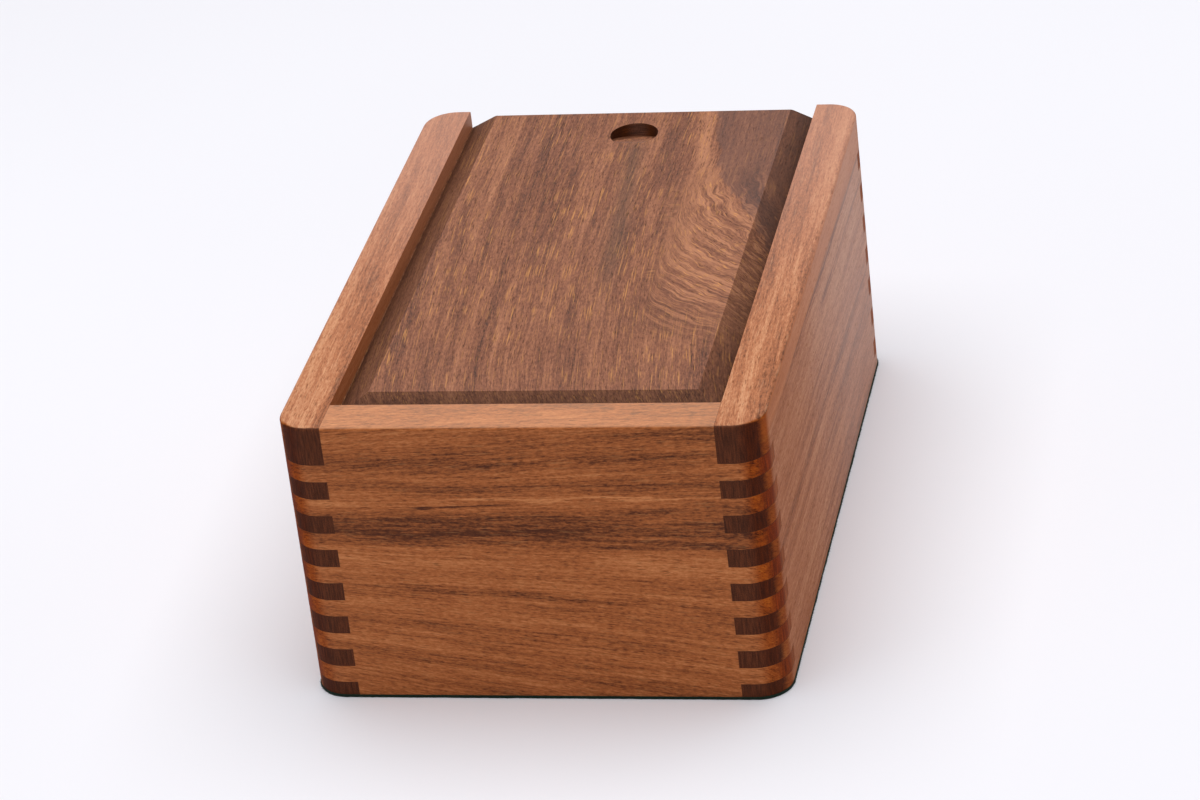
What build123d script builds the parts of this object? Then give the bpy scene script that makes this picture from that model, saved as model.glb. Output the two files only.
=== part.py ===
from build123d import *

import os
from math import cos, floor, radians, sin, tan

# A finger-jointed hardwood box with a raised-panel lid that slides out at the back.
# Millimetres. X runs across the box, Y from the closed front end to the open back end,
# Z up. The origin is the middle of the underside.

# Case
width = 160.0  # over the two side walls
length = 240.0  # front face to back face
height = 102.0  # underside of the felt to the rim
wall = 15.5
corner_radius = 11.0  # upright outer corners
rim_radius = 1.2  # outer edge of the rim

# Finger joints
finger_width = 6.35
lowest_joint = 5.8  # level of the lowest joint line

# Lid groove, cut in the side walls and the front wall
groove_level = 92.0  # the floor of the groove, and the top of the back wall
groove_height = 3.5
groove_depth = 5.5

# Lid
lid_slip = 0.25  # clearance all round the tongues
field_rise = 4.75  # the raised field above the tongues
bevel_run = 9.5  # the bevel, measured level
front_shoulder = 3.0  # flat between the front wall and the foot of the front bevel
lid_edge_break = 0.4

# Thumb notch: a round cutter, leaning back
notch_radius = 8.7
notch_lean = 16.0  # degrees
notch_depth = 4.4
notch_setback = 9.5  # from the back edge of the lid

# Base
felt_thickness = 1.0
panel_thickness = 6.0
rebate_depth = 7.0  # the panel's seat, cut into the inner faces of the walls

# Inside
divider_thickness = 8.0
housing_depth = 3.0  # the divider's seats in the front and back walls
divider_drop = 2.0  # from the groove floor to the top of the divider
lining_thickness = 1.2
lining_margin = 0.4  # round each floor lining

# Worked out
inner_width = width - 2 * wall
inner_length = length - 2 * wall
back_face = length / 2
end_wall_middle = (length - wall) / 2
side_wall_middle = (width - wall) / 2
panel_top = felt_thickness + panel_thickness
tongue_level = groove_level + lid_slip
tongue_thickness = groove_height - 2 * lid_slip
field_level = tongue_level + tongue_thickness + field_rise
room_width = (inner_width - divider_thickness) / 2
finger_pitch = 2 * finger_width
finger_count = floor((groove_level - finger_width - lowest_joint) / finger_pitch) + 1
finger_levels = [lowest_joint + i * finger_pitch for i in range(finger_count)]


# Spaces that the walls are cut from and with

with BuildPart() as outline:
    with BuildSketch(Plane.XY.offset(felt_thickness)):
        RectangleRounded(width, length, corner_radius)
    extrude(amount=height - felt_thickness)
    fillet(outline.faces().sort_by(Axis.Z)[-1].edges(), radius=rim_radius)

with BuildPart() as panel_seat:
    with BuildSketch(Plane.XY.offset(felt_thickness)):
        Rectangle(inner_width + 2 * rebate_depth, inner_length + 2 * rebate_depth)
    extrude(amount=panel_thickness)

with BuildPart() as divider_seat:
    with BuildSketch(Plane.XY.offset(panel_top)):
        Rectangle(divider_thickness, inner_length + 2 * housing_depth)
    extrude(amount=groove_level - panel_top)

groove_front = groove_depth + inner_length / 2  # ahead of the middle

with BuildPart() as lid_groove:
    with BuildSketch(Plane.XY.offset(groove_level)):
        with Locations((0, -groove_front)):
            Rectangle(
                inner_width + 2 * groove_depth,
                groove_front + length,
                align=(Align.CENTER, Align.MIN),
            )
    extrude(amount=groove_height)


def end_wall(middle, top):
    """A wall across the box, at Y = middle, with its fingers reaching both side faces."""
    with BuildPart() as board:
        with BuildSketch(Plane.XY.offset(felt_thickness)):
            with Locations((0, middle)):
                Rectangle(inner_width, wall)
        extrude(amount=top - felt_thickness)
        for level in finger_levels:
            with BuildSketch(Plane.XY.offset(level)):
                with Locations((0, middle)):
                    Rectangle(width, wall)
            extrude(amount=finger_width)
        add(panel_seat.part, mode=Mode.SUBTRACT)
        add(divider_seat.part, mode=Mode.SUBTRACT)
        add(lid_groove.part, mode=Mode.SUBTRACT)
        add(outline.part, mode=Mode.INTERSECT)
    return board


def side_wall(side):
    """A wall along the box, on the side given by -1 or 1, slotted for the end walls."""
    with BuildPart() as board:
        with BuildSketch(Plane.XY.offset(felt_thickness)):
            with Locations((side * side_wall_middle, 0)):
                Rectangle(wall, length)
        extrude(amount=height - felt_thickness)
        for level in finger_levels:
            with BuildSketch(Plane.XY.offset(level)):
                with Locations((side * side_wall_middle, -end_wall_middle)):
                    Rectangle(wall, wall)
                with Locations((side * side_wall_middle, end_wall_middle)):
                    Rectangle(wall, wall)
            extrude(amount=finger_width, mode=Mode.SUBTRACT)
        add(panel_seat.part, mode=Mode.SUBTRACT)
        add(lid_groove.part, mode=Mode.SUBTRACT)
        add(outline.part, mode=Mode.INTERSECT)
    return board


def floor_lining(side):
    """Felt on the floor of one of the two rooms."""
    with BuildPart() as felt:
        with BuildSketch(Plane.XY.offset(panel_top)):
            with Locations((side * (divider_thickness + room_width) / 2, 0)):
                Rectangle(room_width - 2 * lining_margin, inner_length - 2 * lining_margin)
        extrude(amount=lining_thickness)
    return felt


# Walls

front_wall = end_wall(-end_wall_middle, height)
back_wall = end_wall(end_wall_middle, groove_level)
left_wall = side_wall(-1)
right_wall = side_wall(1)


# Base

with BuildPart() as bottom_panel:
    with BuildSketch(Plane.XY.offset(felt_thickness)):
        Rectangle(inner_width + 2 * rebate_depth, inner_length + 2 * rebate_depth)
    extrude(amount=panel_thickness)

with BuildPart() as base_felt:
    with BuildSketch():
        RectangleRounded(width, length, corner_radius)
    extrude(amount=felt_thickness)


# Inside

with BuildPart() as divider:
    with BuildSketch(Plane.XY.offset(panel_top)):
        Rectangle(divider_thickness, inner_length + 2 * housing_depth)
    extrude(amount=groove_level - divider_drop - panel_top)

left_floor_lining = floor_lining(-1)
right_floor_lining = floor_lining(1)


# Lid

tongue_front = groove_front - lid_slip  # ahead of the middle
bevel_front = inner_length / 2 - front_shoulder
field_front = bevel_front - bevel_run
bevel_foot_width = inner_width - 2 * lid_slip
lean = radians(notch_lean)
notch_back = back_face - notch_setback - notch_depth * tan(lean)
notch_floor = Plane(
    origin=(
        0,
        notch_back - notch_radius * cos(lean),
        field_level - notch_depth + notch_radius * sin(lean),
    ),
    x_dir=(1, 0, 0),
    z_dir=(0, sin(lean), cos(lean)),
)

with BuildPart() as lid:
    with BuildSketch(Plane.XY.offset(tongue_level)):
        with Locations((0, back_face)):
            Rectangle(
                inner_width + 2 * (groove_depth - lid_slip),
                tongue_front + back_face,
                align=(Align.CENTER, Align.MAX),
            )
    extrude(amount=tongue_thickness)
    with BuildSketch(Plane.XY.offset(tongue_level + tongue_thickness)):
        with Locations((0, back_face)):
            Rectangle(
                bevel_foot_width,
                bevel_front + back_face,
                align=(Align.CENTER, Align.MAX),
            )
    with BuildSketch(Plane.XY.offset(field_level)):
        with Locations((0, back_face)):
            Rectangle(
                bevel_foot_width - 2 * bevel_run,
                field_front + back_face,
                align=(Align.CENTER, Align.MAX),
            )
    loft(ruled=True)
    back_top_edge = lid.faces().sort_by(Axis.Z)[-1].edges().sort_by(Axis.Y)[-1]
    chamfer(back_top_edge, length=lid_edge_break)
    with BuildSketch(notch_floor):
        Circle(notch_radius)
    extrude(amount=2 * notch_depth, mode=Mode.SUBTRACT)


# Files

pieces = {
    "front_wall": front_wall,
    "back_wall": back_wall,
    "left_wall": left_wall,
    "right_wall": right_wall,
    "bottom_panel": bottom_panel,
    "base_felt": base_felt,
    "divider": divider,
    "left_floor_lining": left_floor_lining,
    "right_floor_lining": right_floor_lining,
    "lid": lid,
}

os.makedirs("parts", exist_ok=True)
for name, piece in pieces.items():
    piece.part.label = name
    export_step(piece.part, f"parts/{name}.step")
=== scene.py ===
import math
import random
from collections import namedtuple

import bmesh
import bpy
from mathutils import Matrix, Vector, noise


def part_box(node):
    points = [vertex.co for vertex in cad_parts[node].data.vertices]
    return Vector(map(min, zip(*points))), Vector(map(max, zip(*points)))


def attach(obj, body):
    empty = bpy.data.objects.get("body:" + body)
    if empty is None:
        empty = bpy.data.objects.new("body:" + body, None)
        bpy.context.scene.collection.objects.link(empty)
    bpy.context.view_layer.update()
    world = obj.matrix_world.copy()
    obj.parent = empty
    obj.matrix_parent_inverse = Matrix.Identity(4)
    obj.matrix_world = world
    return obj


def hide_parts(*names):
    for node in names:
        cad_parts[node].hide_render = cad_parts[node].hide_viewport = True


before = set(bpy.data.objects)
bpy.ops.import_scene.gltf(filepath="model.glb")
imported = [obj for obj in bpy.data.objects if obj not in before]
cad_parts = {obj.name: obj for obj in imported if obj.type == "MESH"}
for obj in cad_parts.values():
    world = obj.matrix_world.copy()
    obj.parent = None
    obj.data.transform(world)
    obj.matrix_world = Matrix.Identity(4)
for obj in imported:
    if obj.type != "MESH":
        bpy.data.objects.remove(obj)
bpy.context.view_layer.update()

# A finger-jointed hardwood box with a sliding lid: oiled boards with their own figure,
# green felt, a pale studio. Metres here, millimetres inside the wood shaders.

MM = 0.001

# Read from the frame
FRONT_LOW, FRONT_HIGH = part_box("front_wall")
LID_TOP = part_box("lid")[1].z
CASE_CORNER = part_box("base_felt")[1]
WALL = FRONT_HIGH.y - FRONT_LOW.y
HALF_WIDTH = CASE_CORNER.x
HALF_LENGTH = CASE_CORNER.y

# Real sizes repeated from the joinery
FINGER = 6.35 * MM
FINGER_PAIRS = 7
LOWEST_JOINT = 5.8 * MM
CORNER_RADIUS = 11 * MM
FIELD_RISE = 4.75 * MM

# The same in millimetres, for the shaders: where the fingers of two walls cross, measured
# from the middle, the back edge, and the levels of the lid's bevels
BLOCK_X = (HALF_WIDTH - WALL) / MM
BLOCK_Y = (HALF_LENGTH - WALL) / MM
BACK_EDGE = HALF_LENGTH / MM
BEVEL_TOP = LID_TOP / MM
BEVEL_FOOT = BEVEL_TOP - FIELD_RISE / MM


# ---------------------------------------------------------------- colours


def colour(red, green, blue):
    """A colour written as it looks on a screen, 0 to 255, as the linear numbers of a shader."""

    def linear(value):
        value /= 255
        return value / 12.92 if value <= 0.04045 else ((value + 0.055) / 1.055) ** 2.4

    return (linear(red), linear(green), linear(blue), 1.0)


Palette = namedtuple("Palette", "dark middle light golden end_grain")

FRONT_PALETTE = Palette(
    dark=colour(84, 40, 18),
    middle=colour(178, 101, 52),
    light=colour(214, 138, 84),
    golden=colour(216, 148, 92),
    end_grain=colour(134, 64, 16),
)
SIDE_PALETTE = Palette(
    dark=colour(92, 50, 28),
    middle=colour(172, 107, 70),
    light=colour(208, 150, 110),
    golden=colour(212, 160, 122),
    end_grain=colour(84, 42, 22),
)
LID_PALETTE = Palette(
    dark=colour(56, 32, 23),
    middle=colour(128, 79, 56),
    light=colour(173, 117, 85),
    golden=colour(204, 142, 82),
    end_grain=colour(84, 50, 36),
)
PLAIN_PALETTE = Palette(
    dark=colour(112, 76, 50),
    middle=colour(166, 124, 86),
    light=colour(194, 152, 112),
    golden=colour(204, 162, 118),
    end_grain=colour(120, 86, 60),
)
# Painted dark reflection, multiplied over the rounded corners
CORNER_DARK_REFLECTION = colour(222, 178, 84)
GLUE = colour(46, 26, 16)


# ---------------------------------------------------------------- shader writing

# The Mix node's colour sockets, which come after its number and vector ones
MIX_FIRST, MIX_SECOND, MIX_RESULT = 6, 7, 2


class Shader:
    """One material's node tree, with a short call for each kind of node that is used."""

    def __init__(self, name):
        self.material = bpy.data.materials.new(name)
        self.material.use_nodes = True
        self.tree = self.material.node_tree
        self.tree.nodes.clear()

    def node(self, kind, **settings):
        made = self.tree.nodes.new(kind)
        for key, value in settings.items():
            setattr(made, key, value)
        return made

    def feed(self, socket, value):
        """Links a socket to another, or sets its own number or colour."""
        if isinstance(value, bpy.types.NodeSocket):
            self.tree.links.new(value, socket)
        else:
            socket.default_value = value

    def math(self, operation, *values):
        made = self.node("ShaderNodeMath", operation=operation)
        for socket, value in zip(made.inputs, values):
            self.feed(socket, value)
        return made.outputs[0]

    def add(self, *values):
        total = values[0]
        for value in values[1:]:
            total = self.math("ADD", total, value)
        return total

    def times(self, *values):
        total = values[0]
        for value in values[1:]:
            total = self.math("MULTIPLY", total, value)
        return total

    def less(self, value, taken):
        return self.math("SUBTRACT", value, taken)

    def swing(self, value, amount):
        """Noise, which lies round a half, moved to swing round zero by amount."""
        return self.times(self.less(value, 0.5), amount)

    def ramp_up(self, value, low, high):
        """0 below low and 1 above high, smooth between. With low above high it falls instead."""
        made = self.node("ShaderNodeMapRange", interpolation_type="SMOOTHSTEP")
        for name, number in (("Value", value), ("From Min", low), ("From Max", high)):
            self.feed(made.inputs[name], number)
        return made.outputs["Result"]

    def bump_at(self, value, centre, half_width):
        """A smooth hill: 1 where value is centre, near 0 past half_width either side."""
        offset = self.math("DIVIDE", self.less(value, centre), half_width * 0.6)
        return self.math("POWER", math.e, self.times(self.times(offset, offset), -1.0))

    def vector(self, x, y, z):
        made = self.node("ShaderNodeCombineXYZ")
        for socket, value in zip(made.inputs, (x, y, z)):
            self.feed(socket, value)
        return made.outputs[0]

    def noise(self, x, y, z, detail=2.0, roughness=0.5):
        made = self.node("ShaderNodeTexNoise", noise_dimensions="3D")
        self.feed(made.inputs["Vector"], self.vector(x, y, z))
        made.inputs["Scale"].default_value = 1.0
        made.inputs["Detail"].default_value = detail
        made.inputs["Roughness"].default_value = roughness
        return made.outputs["Fac"]

    def mix(self, share, first, second, blend="MIX"):
        made = self.node("ShaderNodeMix", data_type="RGBA", blend_type=blend)
        self.feed(made.inputs["Factor"], share)
        self.feed(made.inputs[MIX_FIRST], first)
        self.feed(made.inputs[MIX_SECOND], second)
        return made.outputs[MIX_RESULT]

    def colour_ramp(self, value, stops):
        """Colours along a number: stops is a list of (place, colour)."""
        made = self.node("ShaderNodeValToRGB")
        self.feed(made.inputs["Fac"], value)
        elements = made.color_ramp.elements
        while len(elements) < len(stops):
            elements.new(0.5)
        for element, (place, shade) in zip(elements, stops):
            element.position = place
            element.color = shade
        return made.outputs["Color"]

    def bump(self, height, distance, strength=1.0):
        made = self.node("ShaderNodeBump")
        self.feed(made.inputs["Height"], height)
        made.inputs["Distance"].default_value = distance
        made.inputs["Strength"].default_value = strength
        return made.outputs["Normal"]

    def surface(self, base, roughness, normal=None, **constants):
        """The finished material. Constants are named as the sockets are, with _ for a space."""
        shader = self.node("ShaderNodeBsdfPrincipled")
        self.feed(shader.inputs["Base Color"], base)
        self.feed(shader.inputs["Roughness"], roughness)
        if normal is not None:
            self.feed(shader.inputs["Normal"], normal)
        for name, value in constants.items():
            shader.inputs[name.replace("_", " ")].default_value = value
        out = self.node("ShaderNodeOutputMaterial")
        self.tree.links.new(shader.outputs["BSDF"], out.inputs["Surface"])
        return self.material


# ---------------------------------------------------------------- wood


class Board(Shader):
    """A board's own coordinates in millimetres: along the grain, across it, and through it."""

    def __init__(self, name, along, across, through, seed):
        super().__init__(name)
        place = self.node("ShaderNodeTexCoord").outputs["Object"]
        scaled = self.node("ShaderNodeVectorMath", operation="SCALE")
        self.feed(scaled.inputs[0], place)
        scaled.inputs["Scale"].default_value = 1 / MM
        split = self.node("ShaderNodeSeparateXYZ")
        self.feed(split.inputs[0], scaled.outputs[0])
        self.x, self.y, self.z = split.outputs
        self.along = split.outputs[along]
        self.across = split.outputs[across]
        self.through = split.outputs[through]
        facing = self.node("ShaderNodeSeparateXYZ")
        self.feed(facing.inputs[0], self.node("ShaderNodeTexCoord").outputs["Normal"])
        self.facing_x = self.math("ABSOLUTE", facing.outputs["X"])
        self.facing_y = self.math("ABSOLUTE", facing.outputs["Y"])
        self.facing_up = facing.outputs["Z"]
        self.end_facing = self.math("ABSOLUTE", facing.outputs[along])
        self.seed = seed

    def blend(self, share, first, second):
        """A plain number between two others."""
        return self.add(self.times(first, self.less(1.0, share)), self.times(second, share))

    def rounded_corner(self):
        """1 where an upright corner is rounded, most of all next to the side face."""
        middle = self.ramp_up(self.math("MINIMUM", self.facing_x, self.facing_y), 0.1, 0.56)
        side = self.times(
            self.ramp_up(self.facing_y, 0.0, 0.26), self.ramp_up(self.facing_x, 0.55, 0.8)
        )
        return self.math("MAXIMUM", middle, side)

    def drift(self, size, long=110.0, wide=60.0, shift=0.0):
        """A slow swing from side to side, size millimetres either way at most."""
        slow = self.noise(
            self.times(self.along, 1 / long),
            self.times(self.across, 1 / wide),
            self.seed + shift,
        )
        return self.swing(slow, 4 * size)

    def streaks(self, figure, wide, long, shift, detail=2.0, roughness=0.5):
        """Noise drawn out along the grain: each streak about wide by long millimetres.

        Each shift gives other streaks of the same size."""
        return self.noise(
            self.add(self.times(figure.phase, 1 / wide), self.seed + shift),
            self.times(figure.along, 1 / long),
            self.times(self.through, 0.6 / wide),
            detail=detail,
            roughness=roughness,
        )

    def feather(self, figure, wide, long, amount):
        """A fine swing that frays the edges of what is placed one by one."""
        return self.swing(self.streaks(figure, wide, long, shift=9.0), amount)


class Figure:
    """How the grain runs on a board: which ring a point is in, and how far along it."""

    def __init__(self, phase, along):
        self.phase = phase
        self.along = along
        self.tone = 0.0  # added lightness, from about -0.4 to 0.4
        self.gold = 0.3  # how much of the golden fleck shows, 0 to 1
        self.tints = ()  # (share, colour) laid over the wood
        self.swell = 0.75  # how strongly the wide slow bands show
        self.banding = 0.95  # how strongly the year rings show
        self.fleck = (0.6, 9.0)  # width and length of the golden flecks
        self.dull = 0.0  # how much of the gloss is lost, 0 to 1


def streak_sum(board, height, placed):
    """Listed streaks: (centre, half width, amount, start, end), in millimetres."""
    longest_fade = 25.0
    total = 0.0
    for centre, half_width, amount, start, end in placed:
        fade = min(longest_fade, (end - start) / 3)
        held = board.times(
            board.ramp_up(board.along, start, start + fade),
            board.ramp_up(board.along, end, end - fade),
        )
        total = board.add(
            total, board.times(board.bump_at(height, centre, half_width), held, amount)
        )
    return total


def wood_shade(board, figure, palette):
    """The colour of the long grain, its relief, and its pores."""
    broad = board.streaks(figure, wide=22.0, long=400.0, shift=1.0)
    bands = board.streaks(figure, wide=4.6, long=150.0, shift=2.0, detail=3.0, roughness=0.6)
    lines = board.streaks(figure, wide=0.95, long=26.0, shift=3.0, detail=3.0, roughness=0.65)
    fibres = board.streaks(figure, wide=0.24, long=3.2, shift=4.0, roughness=0.7)
    speckle = board.streaks(figure, wide=0.7, long=1.9, shift=7.0, roughness=0.7)
    tone = board.add(
        0.5,
        board.swing(broad, figure.swell),
        board.swing(bands, figure.banding),
        board.swing(lines, 0.85),
        board.swing(fibres, 0.75),
        board.swing(speckle, 0.7),
        figure.tone,
    )
    stops = [(0.08, palette.dark), (0.5, palette.middle), (0.92, palette.light)]
    shade = board.colour_ramp(tone, stops)

    pore_streaks = board.streaks(figure, wide=0.36, long=4.2, shift=5.0, detail=1.0)
    pores = board.ramp_up(pore_streaks, 0.59, 0.72)
    shade = board.mix(board.times(pores, 0.6), shade, palette.dark)
    flecks = board.ramp_up(board.streaks(figure, *figure.fleck, shift=6.0), 0.55, 0.72)
    shade = board.mix(board.times(flecks, figure.gold), shade, palette.golden)
    for share, tint in figure.tints:
        shade = board.mix(share, shade, tint)
    relief = board.add(
        board.times(pores, -1.0), board.times(fibres, 0.6), board.times(lines, 0.6)
    )
    return shade, relief, pores


def end_grain_shade(board, end_grain):
    """The colour across the fibres: rays and pore ends, dark with oil."""
    ray = board.noise(
        board.times(board.through, 1.7), board.times(board.across, 0.16), board.seed, detail=3.0
    )
    dots = board.noise(
        board.times(board.through, 3.2), board.times(board.across, 3.2), board.seed, detail=1.0
    )
    tone = board.add(board.times(ray, 1.0), board.times(dots, 0.7), -0.35)
    deep = tuple(0.5 * part for part in end_grain[:3]) + (1.0,)
    pale = tuple(min(1.0, 1.9 * part) for part in end_grain[:3]) + (1.0,)
    return board.colour_ramp(tone, [(0.25, deep), (0.5, end_grain), (0.8, pale)])


def joint_lines(board, end_wall):
    """Hairlines of glue round the fingers: 1 on a line, 0 off it."""
    half_line = 0.12
    line_core = half_line * 0.4
    edge = 0.1
    finger, lowest = FINGER / MM, LOWEST_JOINT / MM
    above = board.less(board.z, lowest)
    top_joint = (2 * FINGER_PAIRS - 1) * finger
    level_gap = board.math("PINGPONG", above, finger / 2)
    reach, joint = (board.x, BLOCK_X) if end_wall else (board.y, BLOCK_Y)
    past = board.less(board.math("ABSOLUTE", reach), joint)
    level_line = board.times(
        board.ramp_up(level_gap, half_line, line_core),
        board.ramp_up(past, -0.2, 0.0),
        board.ramp_up(above, top_joint + 0.3, top_joint + 0.2),
    )
    turn = board.math("FRACT", board.math("DIVIDE", above, 2 * finger))
    other_wall = board.math("GREATER_THAN", turn, 0.5)
    if end_wall:
        top_finger = board.ramp_up(above, top_joint, top_joint + edge)
        other_wall = board.math("MAXIMUM", other_wall, top_finger)
    else:
        below_top = board.ramp_up(above, top_joint + edge, top_joint)
        other_wall = board.times(board.less(1.0, other_wall), below_top)
    across_line = board.times(
        board.ramp_up(board.math("ABSOLUTE", past), half_line, line_core), other_wall
    )
    return board.math("MAXIMUM", level_line, across_line)


def finish_wood(board, figure, palette, second=None, glue=None, end_range=(0.62, 0.84)):
    """Colours, gloss and relief of one oiled board.

    second is (share, figure), for a board with two kinds of grain. glue is 1 on its joint
    lines. end_range is how squarely a face cuts the fibres where its end grain starts to
    show, and where it shows in full."""
    shade, relief, pores = wood_shade(board, figure, palette)
    if second is not None:
        share, other = second
        other_shade, other_relief, other_pores = wood_shade(board, other, palette)
        shade = board.mix(share, shade, other_shade)
        relief = board.blend(share, relief, other_relief)
        pores = board.blend(share, pores, other_pores)
    torn = board.noise(
        board.times(board.along, 0.5),
        board.times(board.across, 1.6),
        board.times(board.through, 0.5),
        detail=3.0,
    )
    cut_end = board.add(board.end_facing, board.swing(torn, 0.24))
    end = board.ramp_up(cut_end, *end_range)
    shade = board.mix(end, shade, end_grain_shade(board, palette.end_grain))

    # Painted dark reflection: the rounded corners are darker and more orange, a little less near
    # the ground
    dark_reflection_strength = board.add(0.8, board.times(board.ramp_up(board.z, 4.0, 46.0), 0.2))
    corner = board.times(board.rounded_corner(), dark_reflection_strength)
    shade = board.mix(corner, shade, CORNER_DARK_REFLECTION, blend="MULTIPLY")
    if glue is not None:
        shade = board.mix(board.times(glue, 0.8), shade, GLUE)

    smears = board.noise(*(board.times(axis, 0.02) for axis in (board.x, board.y, board.z)))
    soaked = board.math("MAXIMUM", board.times(corner, 0.9), figure.dull)
    roughness = board.add(
        0.42, board.times(pores, 0.2), board.times(smears, 0.14), board.times(soaked, 0.36)
    )
    normal = board.bump(relief, 0.04 * MM, 0.6)
    return board.surface(shade, roughness, normal, Specular_IOR_Level=0.14, IOR=1.5)


def end_wall_wood(name, seed, placed, spread):
    """A wall across the box: grain along X, opening out towards +X by spread."""
    board = Board(name, "X", "Z", "Y", seed)
    centre_line, spread_start = 72.0, -20.0
    opened = board.add(1.0, board.times(board.less(board.along, spread_start), spread))
    height = board.math("DIVIDE", board.less(board.across, centre_line), opened)
    height = board.add(height, board.drift(1.0))
    figure = Figure(board.add(height, board.times(board.through, 0.5)), board.along)
    feather = board.feather(figure, wide=1.6, long=30.0, amount=7.0)
    figure.tone = streak_sum(board, board.add(height, feather), placed)
    figure.gold = 0.25
    figure.swell = 0.4
    figure.banding = 0.62
    # Painted sheen: the faces that look up are paler
    painted_top_sheen = board.times(board.ramp_up(board.facing_up, 0.5, 0.9), 0.24)
    figure.tints = [(painted_top_sheen, colour(216, 180, 150))]
    figure.dull = board.times(board.ramp_up(board.facing_x, 0.5, 0.8), 0.7)
    return finish_wood(board, figure, FRONT_PALETTE, glue=joint_lines(board, end_wall=True))


def side_wall_wood(name, seed, placed):
    """A wall along the box: grain along Y, falling a little towards the back."""
    board = Board(name, "Y", "Z", "X", seed)
    fall = 0.035
    height = board.add(board.across, board.times(board.along, fall), board.drift(1.5))
    figure = Figure(board.add(height, board.times(board.through, 0.8)), board.along)
    feather = board.feather(figure, wide=1.6, long=40.0, amount=5.0)
    figure.tone = streak_sum(board, board.add(height, feather), placed)
    figure.banding = 1.2
    upright = board.ramp_up(board.facing_up, 0.7, 0.3)
    # Painted sheen: the wall grows paler towards the back. Towards the front its upright faces
    # are painted darker and more orange, as where less sheen is reflected, and they are rougher.
    painted_back_sheen = board.times(board.ramp_up(board.along, -80.0, 120.0), 0.44)
    front_without_sheen = board.times(board.ramp_up(board.along, 60.0, -120.0), upright, 0.62)
    top_line = board.add(height, board.times(feather, 0.4))
    fresh = board.times(board.ramp_up(top_line, 90.5, 93.0), upright, 0.5)
    figure.tints = [
        (painted_back_sheen, colour(198, 152, 134)),
        (board.times(front_without_sheen, 0.7), colour(156, 84, 40)),
        (fresh, colour(196, 118, 70)),
    ]
    figure.dull = front_without_sheen
    glue = joint_lines(board, end_wall=False)
    return finish_wood(board, figure, SIDE_PALETTE, glue=glue, end_range=(0.4, 0.66))


def notch_shade(board):
    """How dark the thumb notch is: its curved far wall, and the shade it throws on its floor."""
    half_width, front, back = 9.0, 90.0, 111.5
    inside = board.times(
        board.ramp_up(board.math("ABSOLUTE", board.x), half_width + 0.6, half_width),
        board.ramp_up(board.y, front - 2.0, front),
        board.ramp_up(board.y, back + 1.0, back),
    )
    wall_depth = 2.2
    wall = board.times(
        board.ramp_up(board.facing_up, 0.7, 0.4),
        board.ramp_up(board.y, 94.0, 100.0),
        board.add(
            0.5, board.times(board.ramp_up(board.z, BEVEL_TOP - wall_depth, BEVEL_TOP), 0.45)
        ),
    )
    # The edge of the shade is a ragged curve, furthest back in the middle of the floor
    edge_middle, edge_curve, edge_slant, edge_ragged = 106.2, -0.125, 0.25, 11.0
    grain = board.noise(board.times(board.x, 0.55), board.times(board.y, 0.12), 3.0, detail=3.0)
    shade_edge = board.add(
        edge_middle,
        board.times(board.x, board.x, edge_curve),
        board.times(board.x, edge_slant),
        board.swing(grain, edge_ragged),
    )
    shaded = board.times(
        board.ramp_up(board.less(board.y, shade_edge), -1.2, 1.2),
        board.ramp_up(board.z, BEVEL_TOP - 0.05, BEVEL_TOP - 0.4),
    )
    return board.times(inside, board.math("MAXIMUM", wall, board.times(shaded, 0.76)))


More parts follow.
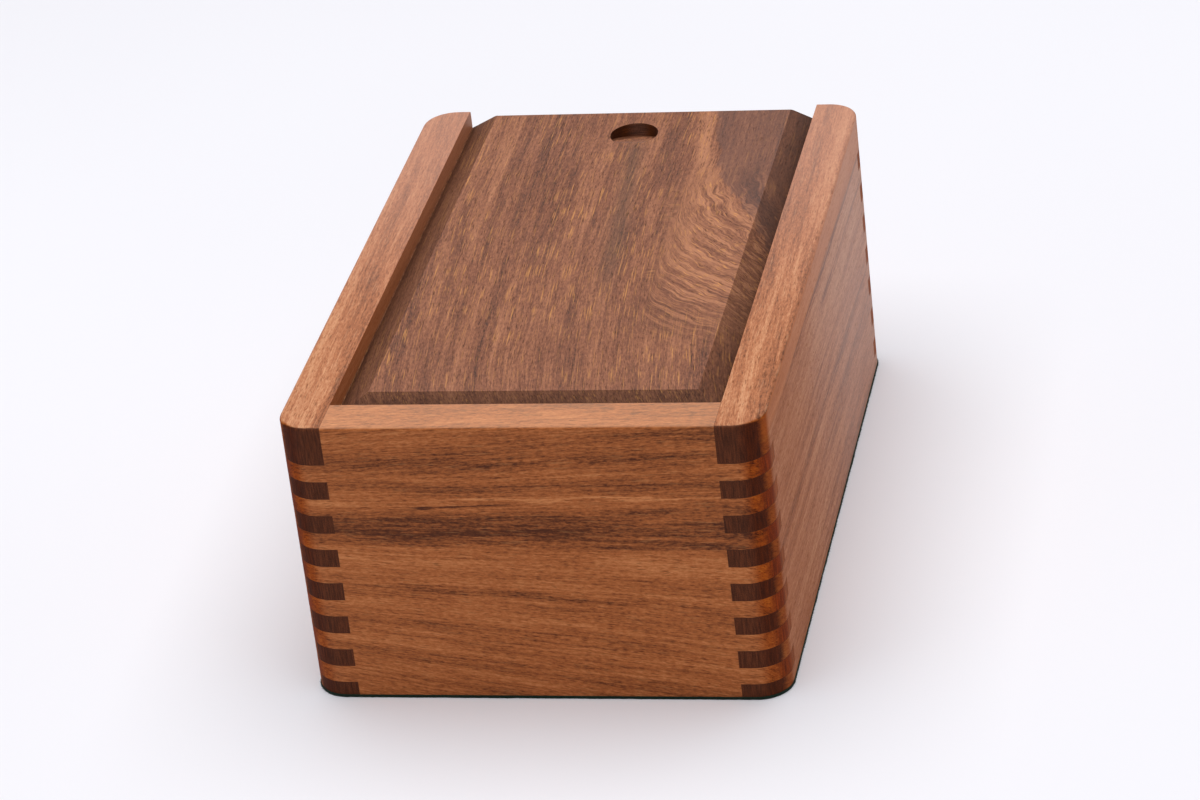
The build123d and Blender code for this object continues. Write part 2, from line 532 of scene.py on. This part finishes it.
def lid_wood():
    """The lid: grain along Y, straight on the left, turning off in a swirl at the right."""
    board = Board("lid_wood", "Y", "X", "Z", 41.0)
    swirl_start = 40.0  # from the back edge
    seam = 26.0  # to the right of the middle
    down = board.less(BACK_EDGE, board.y)
    below = board.math("MAXIMUM", board.less(down, swirl_start), 0.0)
    below_squared = board.times(below, below)
    straight = board.add(
        board.less(board.x, board.times(below_squared, 0.0004)),
        board.drift(1.2),
    )
    straight_grain = Figure(board.add(straight, board.times(board.through, 0.6)), board.along)
    feather = board.feather(straight_grain, wide=1.5, long=30.0, amount=5.0)

    # The swirl: lines leave the seam and turn off to the right, flatter further down
    past_seam = board.less(board.x, seam)
    held = board.math("MAXIMUM", past_seam, 0.4)
    turned = board.add(
        held,
        board.times(board.math("LOGARITHM", held, math.e), 5.0),
        board.times(below_squared, -0.008),
        board.drift(2.4, long=14.0, wide=14.0, shift=5.0),
        board.drift(1.0, long=6.0, wide=6.0, shift=6.0),
    )
    swirl_grain = Figure(
        board.times(turned, 0.62),
        board.add(board.times(board.x, 0.7), board.times(down, 0.7)),
    )
    wander = board.drift(4.0, long=26.0, wide=14.0, shift=7.0)
    in_swirl = board.times(
        board.ramp_up(board.add(past_seam, board.times(feather, 1.8), wander), -5.0, 9.0),
        board.ramp_up(board.add(down, board.times(feather, 4.0)), 44.0, 72.0),
        board.ramp_up(board.add(down, board.times(feather, 7.0), wander), 192.0, 140.0),
    )

    # A golden stripe and a dark band run down from the notch, a little to the right
    placed_tone = streak_sum(board, board.add(straight, feather), LID_STREAKS)
    stripe_line = board.add(board.x, board.times(down, -0.13), board.times(feather, 0.5))
    golden_stripe = board.times(
        board.bump_at(stripe_line, 24.5, 5.5), board.ramp_up(down, 110.0, 70.0)
    )
    band_line = board.add(board.x, board.times(down, -0.075), board.times(feather, 0.6))
    dark_band = board.times(
        board.bump_at(band_line, 0.6, 6.0),
        board.ramp_up(down, 10.0, 40.0),
        board.ramp_up(down, 160.0, 110.0),
    )

    # The grey-brown heart fills the far right corner, past two straight edges
    edge = board.math(
        "MAXIMUM",
        board.add(27.0, board.times(down, 0.17)),
        board.add(11.0, board.times(down, 0.47)),
    )
    heart_in = board.add(
        board.less(board.x, edge), board.drift(1.6, long=9.0, wide=9.0, shift=8.0), feather
    )
    heart = board.ramp_up(heart_in, 0.0, 2.0)

    # Painted shade darkens the bevels, most of all at their foot by the rails; where they cut
    # across the fibres they are a little darker still, for their end grain
    bevelled = board.ramp_up(board.facing_up, 0.97, 0.91)
    foot = board.ramp_up(board.z, BEVEL_TOP, BEVEL_FOOT)
    across_end = board.ramp_up(board.facing_y, 0.2, 0.4)
    painted_bevel_shade = board.times(
        bevelled, board.add(0.42, board.times(foot, 0.3), board.times(across_end, 0.08))
    )
    tints = [
        (board.times(heart, 0.4), colour(106, 76, 66)),
        (board.times(dark_band, 0.3), colour(84, 68, 52)),
        (painted_bevel_shade, colour(48, 26, 14)),
        (notch_shade(board), colour(60, 29, 11)),
    ]

    mottled = board.times(
        board.bump_at(down, 178.0, 24.0), board.bump_at(board.add(board.x, wander), 40.0, 17.0)
    )
    straight_grain.tone = board.add(
        placed_tone,
        board.times(mottled, 0.12),
        board.times(golden_stripe, 0.36),
        board.times(dark_band, -0.2),
        board.times(heart, -0.12),
    )
    patchy = board.noise(board.times(board.x, 0.05), board.times(down, 0.012), 4.0)
    straight_grain.gold = board.add(
        0.3,
        board.times(board.ramp_up(patchy, 0.4, 0.6), 0.42),
        board.times(golden_stripe, 0.25),
        board.times(mottled, 0.5),
        board.times(heart, -0.3),
    )
    straight_grain.fleck = (0.5, 15.0)
    straight_grain.swell = 0.45
    straight_grain.banding = 0.7
    straight_grain.dull = board.times(bevelled, 0.6)
    straight_grain.tints = tints
    ripples = board.ramp_up(board.streaks(swirl_grain, wide=1.9, long=22.0, shift=11.0), 0.5, 0.6)
    swirl_grain.tone = board.add(board.times(ripples, 0.38), -0.02, board.times(heart, -0.16))
    swirl_grain.gold = board.add(0.46, board.times(ripples, 0.54), board.times(heart, -0.4))
    swirl_grain.fleck = (0.6, 5.0)
    swirl_grain.tints = tints
    return finish_wood(board, straight_grain, LID_PALETTE, second=(in_swirl, swirl_grain))


def plain_wood(name, along, across, through, seed):
    """A board inside the box."""
    board = Board(name, along, across, through, seed)
    phase = board.add(board.across, board.drift(2.0), board.times(board.through, 0.5))
    return finish_wood(board, Figure(phase, board.along), PLAIN_PALETTE)


# Listed streaks: (centre, half width, amount, start, end). The centres on the front
# wall are heights from its centre line, on the side walls heights from the ground, and on
# the lid places to the right of the middle.
FRONT_STREAKS = [
    (20.0, 12.0, -0.2, -90.0, 90.0),
    (7.0, 4.5, -0.2, -60.0, 95.0),
    (3.0, 0.9, 0.34, -40.0, 90.0),
    (1.0, 0.7, -0.5, -60.0, 2.0),
    (-5.5, 10.0, -0.22, -90.0, 95.0),
    (-8.5, 2.6, -0.14, -90.0, 95.0),
    (-12.5, 3.2, -0.08, -10.0, 95.0),
    (-21.0, 8.0, 0.12, -90.0, 90.0),
    (-27.5, 3.0, 0.1, -90.0, 95.0),
    (-32.0, 2.6, -0.11, -60.0, 95.0),
    (-37.5, 3.6, 0.1, -90.0, 95.0),
    (-41.0, 3.0, 0.06, -90.0, 90.0),
    (-48.0, 3.0, -0.1, -90.0, 20.0),
    (-58.0, 4.0, -0.18, -90.0, 95.0),
]
SIDE_STREAKS = [
    (97.0, 5.0, 0.2, -70.0, 140.0),
    (91.5, 1.6, -0.62, -70.0, 140.0),
    (81.0, 2.0, -0.5, -10.0, 140.0),
    (60.0, 9.0, 0.06, -20.0, 140.0),
    (48.0, 3.0, -0.16, -130.0, -30.0),
    (30.0, 4.0, -0.12, -40.0, 140.0),
]
LID_STREAKS = [
    (-52.0, 3.0, 0.08, -60.0, 130.0),
    (-43.0, 1.2, 0.24, 40.0, 130.0),
    (-31.0, 5.0, -0.08, 30.0, 130.0),
    (-20.0, 5.0, -0.05, -40.0, 130.0),
    (-6.0, 2.0, 0.14, 0.0, 100.0),
    (-38.0, 3.0, 0.12, -130.0, 0.0),
    (-26.0, 2.0, 0.16, -130.0, -20.0),
    (18.0, 5.0, 0.1, -30.0, 60.0),
]


def paint(node, material):
    """Gives a carried-over CAD node its material."""
    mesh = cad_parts[node].data
    mesh.materials.clear()
    mesh.materials.append(material)


paint("front_wall", end_wall_wood("front_wall_wood", 11.0, FRONT_STREAKS, 0.0027))
paint("back_wall", end_wall_wood("back_wall_wood", 23.0, [], 0.001))
paint("right_wall", side_wall_wood("right_wall_wood", 5.0, SIDE_STREAKS))
paint("left_wall", side_wall_wood("left_wall_wood", 17.0, []))
paint("lid", lid_wood())
paint("divider", plain_wood("divider_wood", "Y", "Z", "X", 31.0))
paint("bottom_panel", plain_wood("bottom_wood", "Y", "X", "Z", 37.0))


# ---------------------------------------------------------------- felt

OUTLINE_STEP = 0.8 * MM
# The edge of a cut sheet, from its underside up: (inset in thicknesses, level)
EDGE_PROFILE = [(-0.35, 0.0), (-0.08, 0.12), (0.0, 0.5), (-0.06, 0.88), (-0.3, 1.0)]
# Waves of the cut edge, per metre
FINE_WAVE, SLOW_WAVE = 900, 90
FIBRES_PER_STEP = 2
FIBRE_HALF_WIDTH = 0.035 * MM
FIBRE_HEIGHT = 0.04 * MM


def felt_material(name, tint, shade):
    """Pressed wool: matted fibres, lint and a soft sheen."""
    felt = Shader(name)
    place = felt.node("ShaderNodeTexCoord").outputs["Object"]
    split = felt.node("ShaderNodeSeparateXYZ")
    felt.feed(split.inputs[0], place)
    x, y, z = (felt.times(split.outputs[axis], 1 / MM) for axis in "XYZ")
    matted = felt.noise(
        felt.times(x, 1.4), felt.times(y, 1.4), felt.times(z, 1.4), detail=5.0, roughness=0.75
    )
    clouds = felt.noise(felt.times(x, 0.08), felt.times(y, 0.08), 2.0, detail=3.0)
    tone = felt.add(felt.times(matted, 0.8), felt.times(clouds, 0.3), -0.05)
    base = felt.colour_ramp(tone, [(0.25, shade), (0.75, tint)])
    lint = felt.ramp_up(felt.noise(x, y, z, detail=4.0, roughness=0.8), 0.66, 0.78)
    base = felt.mix(felt.times(lint, 0.25), base, colour(96, 128, 106))
    normal = felt.bump(matted, 0.25 * MM)
    return felt.surface(
        base, 0.95, normal, Sheen_Weight=0.1, Sheen_Roughness=0.5, Specular_IOR_Level=0.08
    )


BASE_FELT = felt_material("base_felt_wool", colour(30, 52, 40), colour(12, 25, 19))
LINING_FELT = felt_material("lining_felt_wool", colour(40, 92, 62), colour(18, 50, 32))


def case_piece(name, builder, material, replaced=None):
    """Puts a bmesh into the scene as a piece that rides on the case."""
    mesh = bpy.data.meshes.new(name)
    builder.to_mesh(mesh)
    builder.free()
    mesh.materials.append(material)
    piece = bpy.data.objects.new(name, mesh)
    bpy.context.scene.collection.objects.link(piece)
    for face in mesh.polygons:
        face.use_smooth = True
    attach(piece, "case")
    if replaced:
        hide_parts(replaced)
    return piece


def rounded_outline(half_x, half_y, radius):
    """Points round a rectangle with rounded corners, anticlockwise, about a step apart."""
    points = []
    turns = max(4, int(radius * math.pi / 2 / OUTLINE_STEP))
    for corner, (sx, sy) in enumerate(((1, -1), (1, 1), (-1, 1), (-1, -1))):
        centre = Vector((sx * (half_x - radius), sy * (half_y - radius)))
        for i in range(turns + 1):
            angle = math.radians(-90 + 90 * corner + 90 * i / turns)
            points.append(centre + radius * Vector((math.cos(angle), math.sin(angle))))
    closed = points + [points[0]]
    evened = []
    for start, end in zip(closed, closed[1:]):
        count = max(1, round((end - start).length / OUTLINE_STEP))
        evened += [start.lerp(end, i / count) for i in range(count)]
    return evened


def edge_points(outline):
    """Each point of a closed outline, with the direction along the edge and out of it."""
    listed = []
    for i, point in enumerate(outline):
        before, after = outline[i - 1], outline[(i + 1) % len(outline)]
        tangent = (after - before).normalized()
        listed.append((point, tangent, Vector((tangent.y, -tangent.x))))
    return listed


def sheet_body(edge, centre_x, low, thick, ragged):
    """The mesh of a flat sheet with a soft uneven edge."""
    builder = bmesh.new()
    rings = []
    for inset, level in EDGE_PROFILE:
        ring = []
        for point, _, outward in edge:
            fine_place = Vector((point.x * FINE_WAVE, point.y * FINE_WAVE, level * 3.0))
            slow_place = Vector((point.x * SLOW_WAVE, point.y * SLOW_WAVE, 5.0))
            waves = 0.6 * noise.noise(fine_place) + 0.5 * noise.noise(slow_place)
            place = point + outward * (inset * thick + ragged * (waves - 0.6))
            ring.append(builder.verts.new((place.x + centre_x, place.y, low + level * thick)))
        rings.append(ring)
    count = len(edge)
    for lower, upper in zip(rings, rings[1:]):
        for i in range(count):
            j = (i + 1) % count
            builder.faces.new((lower[i], lower[j], upper[j], upper[i]))
    builder.faces.new(list(reversed(rings[0])))
    builder.faces.new(rings[-1])
    return builder


def stray_fibres(rng, edge, centre_x, low, thick, ragged):
    """The mesh of short loose fibres round the edge of a sheet."""
    high = low + thick
    builder = bmesh.new()
    for point, tangent, outward in edge:
        along = Vector((tangent.x, tangent.y, 0))
        for _ in range(FIBRES_PER_STEP):
            root_z = low + thick * rng.uniform(0.15, 0.85)
            root = Vector((point.x + centre_x, point.y, root_z))
            root -= Vector((outward.x, outward.y, 0)) * ragged
            root += along * rng.uniform(-0.4, 0.4) * MM
            length = rng.uniform(0.25, 0.75) * MM
            heading = Vector((outward.x, outward.y, rng.uniform(-0.5, 0.5)))
            heading += along * rng.uniform(-1.1, 1.1)
            tip = root + heading.normalized() * length
            tip.z = max(low + 0.05 * MM, min(high + 0.1 * MM, tip.z))
            side = heading.cross(Vector((0, 0, 1))).normalized() * FIBRE_HALF_WIDTH
            lift = Vector((0, 0, FIBRE_HEIGHT))
            base = [builder.verts.new(root + offset) for offset in (side, -side, lift)]
            end = builder.verts.new(tip)
            builder.faces.new(base)
            for i in range(3):
                builder.faces.new((base[i], base[(i + 1) % 3], end))
    bmesh.ops.recalc_face_normals(builder, faces=builder.faces)
    return builder


def felt_sheet(name, node, material, radius, ragged, proud=0.0):
    """A cut sheet of felt in place of a CAD node, with stray fibres round its edge."""
    rng = random.Random(name)
    low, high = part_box(node)
    half_x = (high.x - low.x) / 2 + proud
    half_y = (high.y - low.y) / 2 + proud
    edge = edge_points(rounded_outline(half_x, half_y, radius))
    shape = ((low.x + high.x) / 2, low.z, high.z - low.z, ragged)
    sheet = case_piece(name, sheet_body(edge, *shape), material, replaced=node)
    fibres = case_piece(name + "_fibres", stray_fibres(rng, edge, *shape), material)


# The base felt is cut a little larger than the box, and shows as a dark line round its foot
PROUD = 0.5 * MM
felt_sheet(
    "base_felt_sheet",
    "base_felt",
    material=BASE_FELT,
    radius=CORNER_RADIUS + PROUD,
    ragged=0.25 * MM,
    proud=PROUD,
)
for side in ("left", "right"):
    felt_sheet(
        f"{side}_floor_felt",
        f"{side}_floor_lining",
        material=LINING_FELT,
        radius=1.0 * MM,
        ragged=0.2 * MM,
    )


# ---------------------------------------------------------------- studio


def floor_material():
    """A pale, matt tabletop, very slightly clouded."""
    made = Shader("studio_floor")
    place = made.node("ShaderNodeTexCoord").outputs["Object"]
    cloud = made.node("ShaderNodeTexNoise")
    made.feed(cloud.inputs["Vector"], place)
    cloud.inputs["Scale"].default_value = 1.5
    base = made.colour_ramp(
        cloud.outputs["Fac"], [(0.3, colour(234, 234, 240)), (0.7, colour(239, 239, 245))]
    )
    return made.surface(base, 0.75, Specular_IOR_Level=0.25)


def build_floor():
    reach = 6.0
    builder = bmesh.new()
    corners = [
        builder.verts.new((x * reach, y * reach, 0))
        for x, y in ((-1, -1), (1, -1), (1, 1), (-1, 1))
    ]
    builder.faces.new(corners)
    mesh = bpy.data.meshes.new("studio_floor")
    builder.to_mesh(mesh)
    builder.free()
    mesh.materials.append(floor_material())
    floor = bpy.data.objects.new("studio_floor", mesh)
    bpy.context.scene.collection.objects.link(floor)


def build_lamp():
    """One large soft lamp overhead, aimed at the middle of the box's foot."""
    data = bpy.data.lights.new("overhead", "AREA")
    data.shape = "RECTANGLE"
    data.size = 2.4
    data.size_y = 2.4
    data.energy = 50.0
    data.color = (1.0, 0.99, 0.975)
    lamp = bpy.data.objects.new("overhead", data)
    place = Vector((0.0, 0.1, 1.9))
    lamp.location = place
    lamp.rotation_euler = (-place).to_track_quat("-Z", "Y").to_euler()
    bpy.context.scene.collection.objects.link(lamp)


def build_world():
    """A dim pale sky, which the camera and glossy rays see at its full brightness."""
    world = bpy.data.worlds.new("studio")
    bpy.context.scene.world = world
    world.use_nodes = True
    tree = world.node_tree
    tree.nodes.clear()
    fill, seen = (tree.nodes.new("ShaderNodeBackground") for _ in range(2))
    fill.inputs["Color"].default_value = colour(240, 242, 248)
    fill.inputs["Strength"].default_value = 0.25
    seen.inputs["Color"].default_value = colour(240, 240, 246)
    seen.inputs["Strength"].default_value = 1.0
    path = tree.nodes.new("ShaderNodeLightPath")
    either = tree.nodes.new("ShaderNodeMath")
    either.operation = "MAXIMUM"
    chosen = tree.nodes.new("ShaderNodeMixShader")
    out = tree.nodes.new("ShaderNodeOutputWorld")
    tree.links.new(path.outputs["Is Camera Ray"], either.inputs[0])
    tree.links.new(path.outputs["Is Glossy Ray"], either.inputs[1])
    tree.links.new(either.outputs[0], chosen.inputs["Fac"])
    tree.links.new(fill.outputs[0], chosen.inputs[1])
    tree.links.new(seen.outputs[0], chosen.inputs[2])
    tree.links.new(chosen.outputs[0], out.inputs["Surface"])


def build_camera():
    """The photograph's viewpoint, turned on its own upright axis to take in the whole box."""
    viewpoint = Vector((0.3165, -1.3119, 0.7639))
    forward = Vector((0.0077, 0.8702, -0.4927)).normalized()
    right = forward.cross(Vector((0, 0, 1))).normalized()
    up = right.cross(forward)
    aim = Vector((0.0, 0.0, 0.046)) - viewpoint
    pan = math.atan2(aim.dot(right), aim.dot(forward))
    turned = (forward * math.cos(pan) + right * math.sin(pan)).normalized()
    tilt = math.atan2(aim.dot(up), aim.dot(turned))
    turned = (turned * math.cos(tilt) + up * math.sin(tilt)).normalized()
    side = forward * -math.sin(pan) + right * math.cos(pan)
    top = side.cross(turned)
    data = bpy.data.cameras.new("photo_view")
    data.lens = 132.0
    data.sensor_width = 36.0
    camera = bpy.data.objects.new("photo_view", data)
    basis = Matrix((side, top, -turned)).transposed().to_4x4()
    camera.matrix_world = Matrix.Translation(viewpoint) @ basis
    bpy.context.scene.collection.objects.link(camera)
    bpy.context.scene.camera = camera


build_floor()
build_world()
build_lamp()
build_camera()
bpy.context.scene.view_settings.view_transform = "Standard"
